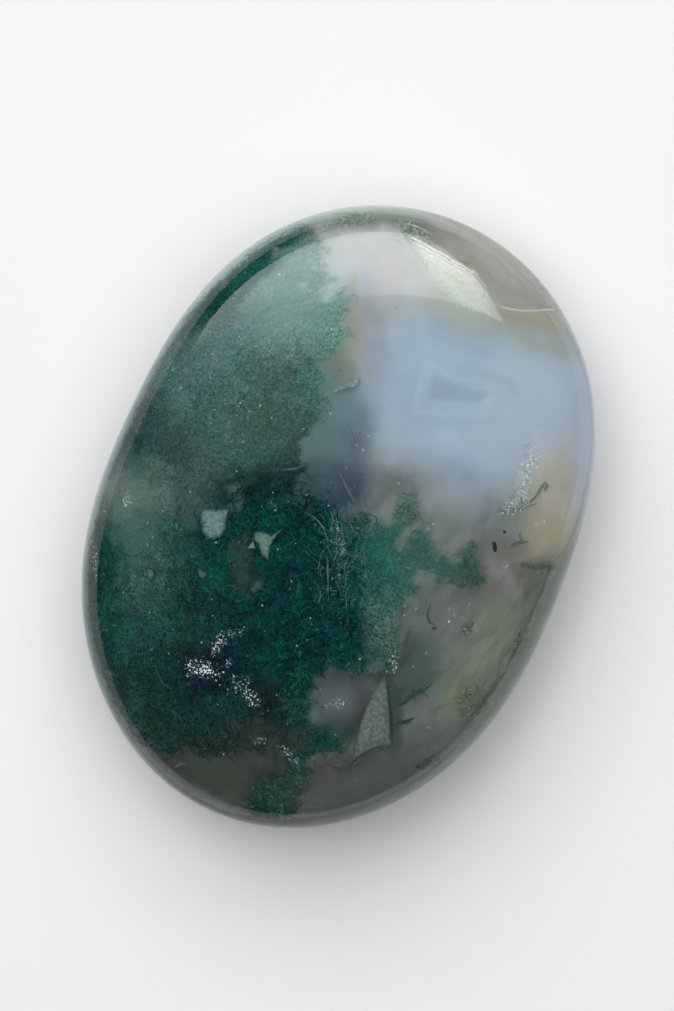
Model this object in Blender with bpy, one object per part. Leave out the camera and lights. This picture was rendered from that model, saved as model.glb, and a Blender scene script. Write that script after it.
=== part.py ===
"""A polished moss agate palm stone: one solid piece of chalcedony, an oval pebble with a puffed top and underside.

Metres, +Z up. The origin is at the middle of the small flat that the stone rests on, the long axis runs along Y
and the short axis of the outline along X. The moss, the pale cloud and the veils are grown inside the stone, so
they are colour and not separate pieces.
"""

import math

import bmesh
import bpy
from mathutils import Vector

# Driving dimensions
LENGTH = 0.0600
WIDTH = 0.0439
TOP_HEIGHT = 0.0086  # from the widest level up to the crown
UNDERSIDE_DEPTH = 0.0088  # from the widest level down to the resting flat, before the flat is cut
FLAT_CUT = 0.0002  # how much of the underside's belly is rubbed off where the stone rests

# The outline: an oval with fuller corners than an ellipse, and a slight skew from hand polishing
CORNER_FULLNESS = 0.0175
CORNER_SKEW = 0.0016
SIDE_WAVE = 0.0040

# The section: 2 would be an ellipse, and more is flatter on top with a tighter edge
TOP_SECTION_POWER = 2.30
UNDERSIDE_SECTION_POWER = 2.40

# Slow hollows and swells of the polished faces, as shares of the height
SWELL = 0.018
END_TAPER = 0.05  # how much lower the crown is at the far end of the long axis than at the near end

GRID_CUTS = 21  # each side of the starting cube is cut into one more square than this

COLOUR = (0.075, 0.145, 0.130, 1.0)
ROUGHNESS = 0.06
CHALCEDONY_IOR = 1.54

# The half axes of the plain ellipse that the outline starts from
HALF_LENGTH = LENGTH / 2 / (1 - CORNER_FULLNESS)
HALF_WIDTH = WIDTH / 2 / (1 - CORNER_FULLNESS)


def clear_scene():
    for old in list(bpy.data.objects):
        bpy.data.objects.remove(old, do_unlink=True)


def outline_radius(x, y):
    """Distance from the middle of the stone to its outline, seen from above, towards the point (x, y)."""
    turn = math.atan2(-x, y)  # from the long axis, anticlockwise
    ellipse = 1 / math.hypot(math.cos(turn) / HALF_LENGTH, math.sin(turn) / HALF_WIDTH)
    corners = -CORNER_FULLNESS * math.cos(4 * turn) + CORNER_SKEW * math.sin(4 * turn)
    return ellipse * (1 + corners - SIDE_WAVE * math.cos(5 * turn))


def height_limit(x, y, above):
    """Height of the crown, or depth of the belly, that the section under (x, y) is drawn with."""
    along = y / HALF_LENGTH
    across = x / HALF_WIDTH
    swell = SWELL * math.sin(2.1 * along + 0.6) * math.cos(1.7 * across - 0.4)
    if above:
        return TOP_HEIGHT * (1 - END_TAPER * along + swell)
    return UNDERSIDE_DEPTH * (1 - swell)


def on_stone(direction):
    """The point of the stone's surface that lies in this direction from the middle of its widest level."""
    spread = Vector((direction.x * HALF_WIDTH, direction.y * HALF_LENGTH, direction.z * TOP_HEIGHT))
    above = spread.z >= 0
    power = TOP_SECTION_POWER if above else UNDERSIDE_SECTION_POWER
    # The swell depends on where the point ends up, so a few rounds settle it
    reach = 1.0
    for _ in range(6):
        point = spread * reach
        outwards = math.hypot(point.x, point.y) / outline_radius(point.x, point.y)
        upwards = abs(point.z) / height_limit(point.x, point.y, above)
        reach /= (outwards**power + upwards**power) ** (1 / power)
    return spread * reach


def rub_flat(mesh):
    """Cuts the resting flat from the lowest part of the belly and closes it with one face."""
    lowest = min(vertex.co.z for vertex in mesh.verts)
    cut = bmesh.ops.bisect_plane(
        mesh,
        geom=mesh.verts[:] + mesh.edges[:] + mesh.faces[:],
        dist=1e-7,
        plane_co=(0, 0, lowest + FLAT_CUT),
        plane_no=(0, 0, -1),
        clear_outer=True,
    )
    rim = [item for item in cut["geom_cut"] if isinstance(item, bmesh.types.BMEdge)]
    bmesh.ops.contextual_create(mesh, geom=rim)


def rest_on_origin(mesh):
    """Moves the stone so that the origin is under the middle of its outline, on the resting flat."""
    low = [min(vertex.co[axis] for vertex in mesh.verts) for axis in range(3)]
    high = [max(vertex.co[axis] for vertex in mesh.verts) for axis in range(3)]
    middle = Vector(((low[0] + high[0]) / 2, (low[1] + high[1]) / 2, low[2]))
    bmesh.ops.translate(mesh, vec=-middle, verts=mesh.verts)


def chalcedony_material():
    material = bpy.data.materials.new("polished_chalcedony")
    material.use_nodes = True
    shader = material.node_tree.nodes["Principled BSDF"]
    shader.inputs["Base Color"].default_value = COLOUR
    shader.inputs["Roughness"].default_value = ROUGHNESS
    shader.inputs["Metallic"].default_value = 0.0
    shader.inputs["IOR"].default_value = CHALCEDONY_IOR
    return material


def make_stone():
    """A cube cut into even squares and pushed out onto the stone's surface, so that no point is pinched."""
    mesh = bmesh.new()
    bmesh.ops.create_cube(mesh, size=2.0)
    bmesh.ops.subdivide_edges(mesh, edges=mesh.edges[:], cuts=GRID_CUTS, use_grid_fill=True)
    for vertex in mesh.verts:
        # The tangent spaces the squares evenly over the ball
        even = Vector([math.tan(math.pi / 4 * value) for value in vertex.co])
        vertex.co = on_stone(even.normalized())
    rub_flat(mesh)
    rest_on_origin(mesh)
    bmesh.ops.recalc_face_normals(mesh, faces=mesh.faces[:])

    data = bpy.data.meshes.new("agate_stone")
    mesh.to_mesh(data)
    mesh.free()
    data.shade_smooth()
    data.materials.append(chalcedony_material())
    stone = bpy.data.objects.new("agate_stone", data)
    bpy.context.scene.collection.objects.link(stone)
    return stone


clear_scene()
make_stone()
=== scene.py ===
"""The looks of a polished moss agate palm stone, seen from straight above on a pale floor.

The stone has a clear polished skin. Below it, at a depth that changes from place to place, lies its milky
and mossy body, painted from soft patches that are each named and placed by the photo's pixels. Between the
two grow the moss fibres, and there lie the quartz spots, a broken facet, white grains and hair cracks.
"""

import math

import bmesh
import bpy
import numpy as np
from mathutils import Matrix, Vector


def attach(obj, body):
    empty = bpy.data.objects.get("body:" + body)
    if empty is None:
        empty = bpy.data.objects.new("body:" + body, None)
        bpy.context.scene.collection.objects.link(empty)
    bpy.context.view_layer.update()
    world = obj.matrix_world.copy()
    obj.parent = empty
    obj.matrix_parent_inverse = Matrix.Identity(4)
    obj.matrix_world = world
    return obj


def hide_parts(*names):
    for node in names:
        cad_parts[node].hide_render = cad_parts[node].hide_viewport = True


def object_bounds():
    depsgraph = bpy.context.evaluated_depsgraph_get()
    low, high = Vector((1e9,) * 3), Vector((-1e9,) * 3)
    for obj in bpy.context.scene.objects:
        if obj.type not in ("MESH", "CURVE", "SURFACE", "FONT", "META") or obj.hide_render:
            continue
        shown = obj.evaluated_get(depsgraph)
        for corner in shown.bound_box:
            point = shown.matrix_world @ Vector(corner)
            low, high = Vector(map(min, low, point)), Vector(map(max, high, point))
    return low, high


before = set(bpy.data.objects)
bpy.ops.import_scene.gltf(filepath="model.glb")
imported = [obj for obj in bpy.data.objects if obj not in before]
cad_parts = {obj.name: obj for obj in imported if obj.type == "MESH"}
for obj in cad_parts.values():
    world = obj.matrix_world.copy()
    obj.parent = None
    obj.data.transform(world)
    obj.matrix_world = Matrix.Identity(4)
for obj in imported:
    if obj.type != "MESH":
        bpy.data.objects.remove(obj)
cad_low, cad_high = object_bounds()

MM = 0.001
BODY = "root"
SCENE = bpy.context.scene

# The photo's frame
PHOTO_WIDTH, PHOTO_HEIGHT = 674, 1011
PHOTO_MIDDLE = (337.6, 517.4)  # the pixel over the middle of the stone's outline
PHOTO_LENGTH = 639.1  # pixels along the stone's long axis
LEAN = math.radians(22.5)  # how far the long axis leans clockwise from the photo's upright
PIXEL = (cad_high[1] - cad_low[1]) / PHOTO_LENGTH
PHOTO_RIGHT = Vector((math.cos(LEAN), math.sin(LEAN), 0))
PHOTO_UP = Vector((-math.sin(LEAN), math.cos(LEAN), 0))

# The stone's shape, as in the solid
LENGTH = 60.0 * MM
WIDTH = 43.9 * MM
TOP_HEIGHT = 8.6 * MM
UNDERSIDE_DEPTH = 8.8 * MM
FLAT_CUT = 0.2 * MM
CORNER_FULLNESS = 0.0175
CORNER_SKEW = 0.0016
SIDE_WAVE = 0.0040
TOP_POWER = 2.30
UNDERSIDE_POWER = 2.40
SWELL = 0.018
END_TAPER = 0.05
HALF_LENGTH = LENGTH / 2 / (1 - CORNER_FULLNESS)
HALF_WIDTH = WIDTH / 2 / (1 - CORNER_FULLNESS)

SKIN_CUTS = 100  # cuts along each side of the cube that becomes the skin
BODY_CUTS = 116
SURFACE_ROUNDS = 8  # how often a point is moved until it lies on the surface
DEPTH_ROUNDS = 3  # and until it lies at its depth
SLOPE_STEP = 0.01 * MM
OUTERMOST = 0.985  # share of the outline's radius beyond which nothing is placed
FLOOR_GAP = 0.03 * MM  # keeps the flat off the floor, so that light gets between them
CHALCEDONY_IOR = 1.54
CHALCEDONY_TINT = (0.60, 0.63, 0.58, 1)
CHALCEDONY_DENSITY = 30.0  # of what it absorbs


# Shape
def outline_radius(x, y):
    turn = np.arctan2(-x, y)
    ellipse = 1 / np.hypot(np.cos(turn) / HALF_LENGTH, np.sin(turn) / HALF_WIDTH)
    corners = -CORNER_FULLNESS * np.cos(4 * turn) + CORNER_SKEW * np.sin(4 * turn)
    return ellipse * (1 + corners - SIDE_WAVE * np.cos(5 * turn))


def height_limit(x, y, above):
    along = y / HALF_LENGTH
    across = x / HALF_WIDTH
    swell = SWELL * np.sin(2.1 * along + 0.6) * np.cos(1.7 * across - 0.4)
    return np.where(above, TOP_HEIGHT * (1 - END_TAPER * along + swell), UNDERSIDE_DEPTH * (1 - swell))


def fullness(points):
    """0 at the middle of the stone's widest level and 1 on its surface."""
    x, y, z = np.moveaxis(points, -1, 0)
    above = z >= 0
    power = np.where(above, TOP_POWER, UNDERSIDE_POWER)
    outwards = np.hypot(x, y) / outline_radius(x, y)
    upwards = np.abs(z) / height_limit(x, y, above)
    return (outwards**power + upwards**power) ** (1 / power)


def on_stone(direction):
    """Points of the stone's surface in these directions from the middle of its widest level."""
    spread = direction * np.array([HALF_WIDTH, HALF_LENGTH, TOP_HEIGHT])
    for _ in range(SURFACE_ROUNDS):
        spread = spread / fullness(spread)[..., None]
    return spread


def outline_middle():
    """The middle of the box round the outline, where the solid has its origin."""
    turn = np.linspace(0, 2 * math.pi, 3601)
    x, y = -np.sin(turn), np.cos(turn)
    radius = outline_radius(x, y)
    x, y = radius * x, radius * y
    return np.array([(x.min() + x.max()) / 2, (y.min() + y.max()) / 2, 0])


MIDDLE = outline_middle()


def depth_and_normal(points):
    """How deep points lie under the surface, and the direction out to it."""
    here = fullness(points)
    slope = np.stack([fullness(points + SLOPE_STEP * axis) - here for axis in np.eye(3)], -1) / SLOPE_STEP
    steepness = np.linalg.norm(slope, axis=-1)
    return (1 - here) / steepness, slope / steepness[..., None]


def keep_depth(points, shallowest, deepest):
    """Moves points straight in or out until they lie between these depths."""
    for _ in range(DEPTH_ROUNDS):
        depth, normal = depth_and_normal(points)
        points = points + normal * (depth - np.clip(depth, shallowest, deepest))[..., None]
    return points


# Noise and soft shapes
def corner_gradients(cells, seed):
    """One fixed random direction for each whole-numbered corner."""
    n = cells[..., 0] * 374761393 + cells[..., 1] * 668265263 + cells[..., 2] * 974634777 + seed * 1274126177
    n = ((n ^ (n >> 13)) * 1274126177) & 0xFFFFFFFF
    n ^= n >> 16
    turn = (n & 0xFFFF) / 0xFFFF * 2 * math.pi
    z = (n >> 16) / 0xFFFF * 2 - 1
    flat = np.sqrt(np.maximum(0, 1 - z * z))
    return np.stack([flat * np.cos(turn), flat * np.sin(turn), z], -1)


def smooth_noise(points, seed):
    cell = np.floor(points).astype(np.int64)
    within = points - cell
    fade = within**3 * (within * (within * 6 - 15) + 10)
    total = np.zeros(points.shape[:-1])
    for corner in np.ndindex(2, 2, 2):
        corner = np.array(corner)
        weight = np.prod(np.where(corner == 1, fade, 1 - fade), -1)
        total += weight * np.sum(corner_gradients(cell + corner, seed) * (within - corner), -1)
    return total * 1.6


def ragged_noise(points, size, seed, octaves=4):
    """Noise from about -1 to 1 whose largest lumps are this size."""
    total = np.zeros(points.shape[:-1])
    share = 1.0
    for octave in range(octaves):
        total += share * smooth_noise(points * (2**octave / size), seed + octave)
        share *= 0.55
    return total / 2


def ease(value, low, high):
    t = np.clip((value - low) / (high - low), 0, 1)
    return t * t * (3 - 2 * t)


def srgb(red, green, blue):
    value = np.array([red, green, blue]) / 255
    return np.where(value <= 0.04045, value / 12.92, ((value + 0.055) / 1.055) ** 2.4)


def plain_colour(px, rgb):
    """An array that has this colour at each of these pixels."""
    return np.tile(srgb(*rgb), px.shape + (1,))


def paint_over(colour, here, rgb):
    """Lays this colour over an array of colours, as thickly as here says."""
    colour += here[..., None] * (srgb(*rgb) - colour)


def soft_ellipse(px, py, middle, size, tilt, edge):
    """1 inside and 0 outside. tilt is in degrees anticlockwise, edge is the softness of the rim."""
    turn = math.radians(tilt)
    dx, dy = px - middle[0], middle[1] - py
    u = (dx * math.cos(turn) + dy * math.sin(turn)) / size[0]
    v = (dy * math.cos(turn) - dx * math.sin(turn)) / size[1]
    return 1 - ease(np.hypot(u, v), 1 - edge, 1 + edge)


def highest(px, py, shapes, edge, least=0.0):
    """The highest of these soft shapes. Each is its middle, half sizes, tilt and height."""
    total = least + np.zeros(px.shape)
    for middle, size, tilt, height in shapes:
        total = np.maximum(total, height * soft_ellipse(px, py, middle, size, tilt, edge))
    return total


def line_distance(px, py, corners):
    """Distance in pixels to the nearest stretch of an open line."""
    nearest = np.full(px.shape, 1e9)
    for (ax, ay), (bx, by) in zip(corners, corners[1:]):
        ex, ey = bx - ax, by - ay
        t = np.clip(((px - ax) * ex + (py - ay) * ey) / (ex * ex + ey * ey), 0, 1)
        nearest = np.minimum(nearest, np.hypot(px - ax - t * ex, py - ay - t * ey))
    return nearest


def edge_distance(px, py, corners):
    """Distance in pixels to a polygon's edge, negative inside."""
    inside = np.zeros(px.shape, bool)
    for (ax, ay), (bx, by) in zip(corners, corners[1:] + corners[:1]):
        if ay != by:
            inside ^= ((ay > py) != (by > py)) & (px < (bx - ax) * (py - ay) / (by - ay) + ax)
    distance = line_distance(px, py, corners + corners[:1])
    return np.where(inside, -distance, distance)


SLANT = (0.45, -0.30)  # how far the markings lean to the photo's right and up for each step down


def photo_pixel(points):
    """Where points of the stone are seen in the photo. Below the widest level the markings lean."""
    x, y = points[..., 0] - MIDDLE[0], points[..., 1] - MIDDLE[1]
    right = x * PHOTO_RIGHT.x + y * PHOTO_RIGHT.y
    up = x * PHOTO_UP.x + y * PHOTO_UP.y
    below = np.maximum(0, -points[..., 2])
    right = right + SLANT[0] * below
    up = up + SLANT[1] * below
    return PHOTO_MIDDLE[0] + right / PIXEL, PHOTO_MIDDLE[1] - up / PIXEL


def under_pixel(px, py, depth):
    """The points this deep inside the stone, along the bent ray, that are seen at these pixels from above."""
    px, py, depth = np.broadcast_arrays(*(np.asarray(value, float) for value in (px, py, depth)))
    right, up = (px - PHOTO_MIDDLE[0]) * PIXEL, (PHOTO_MIDDLE[1] - py) * PIXEL
    x = MIDDLE[0] + right * PHOTO_RIGHT.x + up * PHOTO_UP.x
    y = MIDDLE[1] + right * PHOTO_RIGHT.y + up * PHOTO_UP.y
    outwards = np.hypot(x, y) / outline_radius(x, y)
    inside = np.minimum(1, OUTERMOST / np.maximum(outwards, 1e-6))
    x, y, outwards = x * inside, y * inside, outwards * inside
    z = height_limit(x, y, np.ones(x.shape, bool)) * (1 - outwards**TOP_POWER) ** (1 / TOP_POWER)
    entry = np.stack([x, y, z], -1)
    normal = depth_and_normal(entry)[1]
    cosine = normal[..., 2:3]
    ratio = 1 / CHALCEDONY_IOR
    bent = np.sqrt(1 - ratio**2 * (1 - cosine**2))
    ray = ratio * np.array([0, 0, -1.0]) + (ratio * cosine - bent) * normal
    return entry + ray * depth[..., None]


# The body's patches, in the colours they are seen in: middle, half sizes, tilt, colour, softness and
# raggedness in pixels
PATCHES = {
    "clear right side": ((480, 610), (150, 170), 0, (116, 122, 118), 0.3, 8),
    "warm right": ((522, 580), (60, 62), 0, (98, 104, 98), 0.6, 8),
    "warm lower right": ((470, 596), (50, 44), 0, (110, 116, 113), 0.6, 8),
    "olive lower right": ((505, 665), (60, 40), 60, (134, 140, 126), 0.5, 8),
    "blue grey lower right": ((455, 724), (60, 32), 30, (103, 110, 113), 0.5, 6),
    "slate right of the core": ((410, 664), (36, 34), 0, (58, 78, 76), 0.6, 5),
    "beige right": ((546, 512), (60, 40), 75, (168, 165, 150), 0.45, 6),
    "beige right core": ((557, 508), (42, 22), 80, (180, 172, 148), 0.6, 5),
    "warm middle": ((430, 480), (90, 30), -10, (126, 124, 121), 0.6, 6),
    "grey middle": ((492, 514), (46, 60), 30, (109, 114, 115), 0.6, 6),
    "warm behind the tongue": ((505, 575), (26, 30), 0, (118, 115, 111), 0.6, 5),
    "mauve curl": ((500, 565), (17, 7), -52, (144, 142, 146), 0.7, 3),
    "mauve curl end": ((516, 588), (16, 7), -50, (136, 135, 139), 0.7, 3),
    "right edge": ((600, 552), (26, 80), -12, (158, 162, 157), 0.6, 5),
    "top of the outline": ((380, 222), (120, 22), 5, (102, 107, 96), 0.5, 4),
    "behind the veil": ((500, 268), (74, 46), -38, (156, 152, 148), 0.3, 3),
    "dusk behind the veil": ((524, 286), (26, 16), -42, (138, 134, 131), 0.7, 3),
    "pale streak behind the veil": ((498, 258), (42, 11), -42, (194, 197, 193), 0.7, 3),
    "beige top": ((358, 276), (60, 44), 0, (200, 202, 200), 0.45, 5),
    "lavender top": ((385, 268), (34, 26), 0, (200, 206, 214), 0.6, 5),
    "cloud halo": ((476, 402), (122, 104), -10, (154, 166, 175), 0.30, 4),
    "cloud": ((482, 397), (108, 88), -8, (162, 182, 197), 0.3, 4),
    "cloud left lobe": ((402, 412), (28, 62), 8, (152, 164, 174), 0.45, 3),
    "cloud lower lobe": ((476, 462), (62, 42), 0, (173, 185, 194), 0.5, 4),
    "cloud right": ((560, 424), (42, 70), -8, (200, 220, 238), 0.5, 4),
    "beside the arc": ((560, 402), (9, 26), -4, (180, 195, 211), 0.7, 3),
    "cloud right edge": ((588, 452), (22, 62), -14, (198, 214, 230), 0.5, 3),
    "olive beside the rim": ((548, 322), (24, 11), -26, (186, 182, 140), 0.6, 3),
    "cloud light spot": ((514, 394), (36, 42), 10, (198, 217, 233), 0.7, 4),
    "olive under the veil": ((518, 322), (54, 16), -14, (162, 160, 124), 0.6, 4),
    "shade above the cloud": ((440, 326), (60, 20), -26, (150, 158, 164), 0.7, 4),
    "veil glow": ((432, 280), (46, 24), -42, (212, 222, 214), 0.8, 3),
    "shade below the cloud": ((420, 468), (60, 16), -6, (142, 150, 157), 0.7, 5),
    "dark middle": ((394, 484), (30, 18), -10, (92, 97, 98), 0.6, 5),
    "mauve band": ((370, 340), (18, 62), 4, (128, 132, 142), 0.5, 3),
    "brown band": ((352, 320), (11, 44), 2, (134, 126, 117), 0.45, 3),
    "grey below the olive": ((546, 344), (38, 14), -24, (160, 170, 168), 0.6, 4),
    "slate left": ((312, 440), (15, 34), 10, (68, 86, 94), 0.6, 4),
    "brown band low": ((342, 370), (14, 30), 18, (110, 104, 92), 0.5, 3),
    "slate blue": ((350, 424), (28, 36), 15, (90, 103, 117), 0.6, 5),
    "slate": ((342, 458), (30, 34), -25, (74, 82, 98), 0.6, 6),
    "navy": ((336, 482), (38, 22), -30, (50, 58, 76), 0.5, 6),
    "under the felt": ((235, 385), (92, 118), 30, (78, 92, 90), 0.4, 6),
    "under the left shoulder": ((148, 462), (58, 72), 60, (40, 70, 68), 0.4, 6),
    "under the left flank": ((140, 590), (80, 120), 80, (20, 54, 54), 0.4, 6),
    "under the core": ((285, 590), (104, 104), 70, (8, 38, 44), 0.4, 6),
    "under the lower moss": ((215, 720), (110, 62), 140, (10, 32, 34), 0.4, 6),
    "bottom brown": ((208, 770), (64, 26), -22, (50, 54, 49), 0.4, 5),
    "bottom slate": ((262, 754), (42, 16), -12, (48, 51, 51), 0.5, 5),
    "bottom grey": ((364, 780), (76, 30), 24, (76, 84, 83), 0.5, 6),
    "bottom tan": ((336, 768), (34, 14), 14, (74, 72, 68), 0.6, 5),
    "low cloud rim": ((344, 700), (30, 36), 20, (54, 57, 60), 0.4, 4),
    "low cloud": ((338, 699), (16, 15), 20, (74, 80, 84), 0.9, 3),
    "below the low cloud": ((334, 732), (30, 14), 0, (38, 54, 52), 0.6, 4),
    "dark strip": ((396, 712), (9, 44), 0, (46, 70, 62), 0.5, 3),
    "olive tangle": ((470, 698), (28, 22), 30, (122, 134, 104), 0.6, 5),
    "olive above the tangle": ((505, 628), (20, 26), 0, (128, 136, 112), 0.7, 5),
}
CLEAR_COLOUR = (104, 112, 106)
UNDERSIDE_COLOUR = (124, 130, 124)
UNDERSIDE_START = (-1.5 * MM, -5 * MM)  # heights between which it sets in
UNDERSIDE_SHARE = 0.6

# The clear band along the stone's edge: angle round the middle in degrees, anticlockwise from the photo's
# right, and the colour it is seen in. Besides the band's own tone, these colours hold painted light and
# shade: lighter on the lit upper side, darkest in the painted shade along the bottom.
RIM = {
    "right": (0, (112, 123, 114)),
    "right of the cloud": (16, (156, 170, 180)),
    "above the cloud": (32, (142, 156, 162)),
    "end of the veil": (48, (144, 158, 146)),
    "right of the top": (61, (170, 176, 172)),
    "beside the top": (73, (138, 147, 142)),
    "top": (88, (126, 144, 134)),
    "top left": (104, (100, 128, 124)),
    "upper left": (120, (150, 162, 162)),
    "left shoulder": (135, (90, 116, 114)),
    "left": (150, (74, 102, 100)),
    "level with the middle": (180, (92, 110, 110)),
    "lower flank": (195, (70, 92, 90)),
    "lower left": (212, (28, 66, 64)),
    "left of the bottom": (226, (56, 72, 66)),
    "bottom left": (241, (4, 10, 10)),
    "bottom": (256, (6, 14, 12)),
    "right of the bottom": (285, (48, 62, 60)),
    "lower right": (312, (84, 96, 88)),
    "right flank": (340, (87, 99, 90)),
}
RIM_TOP = (2.5 * MM, 1.7 * MM)  # heights over the widest level between which the band sets in
RIM_FOOT = (-3.0 * MM, -1.5 * MM)
RIM_COVER = 0.9  # how much of body and moss it hides
RIM_WAVE = 1.6 * MM  # how far the band's foot goes up and down
# Painted light: the band gets lighter at the very edge, down to the widest level, and darker below it.
RIM_SIDE = (1.8 * MM, 0.7 * MM)  # heights between which it gets lighter, down towards the widest level
RIM_UNDER = (-0.8 * MM, 0.5 * MM)  # and between which it is darker again
RIM_PAINTED_LIGHT = 0.7  # how much lighter it gets there
# A painted shade line: body and moss are darker just above the clear band.
RIM_SHADE_LINE = (2.1 * MM, 2.5 * MM, 2.9 * MM, 3.7 * MM)  # where the darker line above the band sets in and fades
RIM_LINE_SHADE = 0.26  # how much it darkens the body
RIM_LINE_MOSS_SHADE = 0.85  # and how much the moss
RIM_LINE_GAP = ((560, 430), (120, 240))  # no such line beside the cloud and the veil: middle, half sizes

# How deep the body lies under the skin, in millimetres: middle, half sizes, tilt, depth
DEPTHS = {
    "right side": ((490, 620), (140, 150), 0, 2.6),
    "bottom": ((370, 770), (110, 50), 20, 1.6),
    "moss right": ((420, 550), (70, 60), 20, 1.5),
    "beige right": ((548, 505), (66, 44), 75, 0.9),
    "cloud": ((480, 393), (125, 100), -8, 0.35),
    "behind the veil": ((500, 262), (84, 44), -38, 1.5),
    "under the veil": ((450, 300), (60, 24), -45, 0.3),
}
USUAL_DEPTH = 0.7
MOSS_DEPTH = 0.9

# The skin's haze, and a painted reflection over the upper felt: middle, half sizes, tilt, colour, share of
# the light it stops, softness
HAZE_AND_REFLECTION = {
    "right side": ((490, 610), (150, 170), 0, (206, 210, 206), 0.04, 0.3),
    "cloud": ((486, 393), (118, 100), -8, (205, 223, 240), 0.18, 0.3),
    "cloud right": ((564, 430), (42, 76), -8, (210, 228, 246), 0.18, 0.6),
    "below the thread": ((536, 336), (50, 20), -18, (204, 212, 208), 0.14, 0.7),
    "under the veil": ((452, 314), (48, 16), -32, (204, 212, 206), 0.14, 0.7),
    "beige right": ((550, 506), (58, 38), 75, (226, 222, 206), 0.15, 0.5),
    "right edge": ((594, 452), (20, 58), -14, (222, 235, 250), 0.18, 0.5),
    "behind the veil": ((500, 262), (84, 44), -38, (206, 203, 198), 0.16, 0.3),
    "beige top": ((360, 272), (62, 46), 0, (222, 224, 226), 0.18, 0.45),
    "felt": ((250, 385), (100, 118), 30, (200, 230, 226), 0.05, 0.3),
    # felt upper and felt left are a painted reflection, a whitish-blue sheen over the upper felt.
    "felt upper": ((296, 300), (60, 52), 30, (206, 230, 228), 0.14, 0.5),
    "felt left": ((216, 340), (44, 26), 48, (206, 232, 234), 0.09, 0.6),
    "edge band": ((244, 284), (76, 12), 42, (214, 240, 238), 0.0, 0.4),
    "dark core": ((275, 585), (120, 120), 70, (214, 240, 238), 0.0, 0.25),
    "left flank": ((140, 610), (70, 100), 80, (204, 230, 224), 0.006, 0.35),
    "grey cloud low": ((340, 697), (18, 19), 20, (210, 216, 222), 0.05, 0.8),
    "bottom grey": ((365, 772), (80, 34), 22, (190, 196, 190), 0.07, 0.5),
}
SKIN_TINT = (238, 246, 242)
CLEAR_HAZE = 0.004
# The specks: partly small flaws and partly painted glints.
SPECK_COLOUR = (0.76, 0.92, 0.96, 1)
SPECK_CELLS = 6200.0  # places for a speck along a metre
SPECK_SHAKE = 0.16 * MM  # how ragged the specks are
BARE_SPECKS = 0.003  # the share of them that shows all over the stone

# White specks on the skin, partly small flaws and partly painted glints: middle, half sizes, tilt, the
# share that shows
SPECKS_AND_GLINTS = {
    "moss": ((250, 560), (150, 220), 20, 0.009),
    "felt": ((250, 370), (90, 90), 20, 0.018),
    # The sparkle in the swirls: painted glints.
    "swirl": ((206, 666), (15, 9), -10, 0.34),
    "swirl middle": ((207, 667), (8, 5), 0, 0.85),
    "swirl left": ((192, 664), (3, 7), 20, 0.45),
    "swirl top": ((220, 643), (5, 10), -30, 0.50),
    "swirl top right": ((234, 631), (16, 4), 10, 0.24),
    "swirl right": ((231, 660), (4, 3), 30, 0.40),
    "second swirl": ((246, 683), (15, 8), -40, 0.26),
    "second swirl end": ((253, 695), (10, 4), -40, 0.50),
    "right beige": ((525, 470), (34, 5), 74, 0.50),
    "right beige scattered": ((528, 472), (40, 14), 72, 0.20),
    "right beige strokes": ((508, 508), (12, 8), 30, 0.34),
    "beside the curl": ((504, 564), (4, 6), 0, 0.30),
    "right beige low": ((520, 525), (18, 20), 0, 0.06),
    "beside the core": ((393, 658), (3, 9), 10, 0.42),
    "beside the core low": ((391, 669), (2, 5), 10, 0.40),
    "low cloud": ((338, 699), (14, 5), 5, 0.22),
    "right rim": ((556, 300), (20, 6), -40, 0.10),
    "right rim low": ((575, 362), (6, 22), -20, 0.12),
    "left edge": ((96, 556), (3, 22), 5, 0.28),
    "slate": ((350, 470), (20, 40), -20, 0.012),
    "scratches": ((340, 552), (10, 36), 0, 0.12),
    "grey left": ((130, 500), (5, 7), 0, 0.30),
    "lower right": ((465, 615), (20, 14), 0, 0.06),
    "bottom": ((290, 752), (14, 4), -50, 0.32),
    "smear": ((262, 738), (8, 5), 0, 0.24),
    "core top": ((275, 504), (10, 5), -20, 0.12),
}

# Outline of the moss, in the photo's pixels. It goes on to the stone's edge at the left.
MOSS_OUTLINE = [
    (304, 205), (318, 245), (328, 262), (330, 288), (343, 298), (344, 330), (338, 352), (329, 374),
    (327, 398), (312, 432), (296, 462), (318, 492), (352, 512),
    (384, 516), (392, 502), (404, 492), (418, 508), (428, 534), (452, 558), (462, 542), (472, 544),
    (474, 560), (483, 576), (468, 588), (440, 578), (416, 588), (404, 606), (398, 640), (392, 672),
    (372, 668), (356, 676), (326, 668), (312, 690), (310, 722), (324, 728), (346, 730), (354, 744),
    (340, 758), (318, 762), (310, 776), (302, 788), (300, 822), (262, 836), (252, 806), (260, 782),
    (280, 768), (286, 758), (270, 752), (252, 748), (232, 752), (206, 752), (176, 748),
    (120, 750), (40, 640), (60, 430), (130, 300), (220, 220),
]

# The veil: a bright white-green wedge with a crisp upper edge that runs on to the rim as a thin light line
VEIL_UPPER = [(398, 231), (410, 238), (424, 245), (441, 255), (475, 274), (490, 296), (504, 311)]
VEIL_LOWER = [(508, 322), (490, 336), (470, 338), (446, 318), (417, 288), (400, 256), (390, 230)]
VEIL_SOFTNESS = 26  # pixels over which the veil fades in from its lower side
VEIL_START = (398, 416)
VEIL_END = (512, 456)  # between these pixels it fades out to the right
THREAD_TURN = (521, 312.8)  # the pixel where the thread is lowest
THREAD_BOWS = (0.0075, 0.0024)  # how fast it rises to the left and to the right of there
THREAD_ENDS = (494, 556)
VEIL_STRENGTH = 0.72
VEIL_COLOUR = (214, 228, 214)
VEIL_SKIN_COLOUR = (236, 246, 234)
VEIL_TIP_COLOUR = (214, 224, 190)

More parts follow.
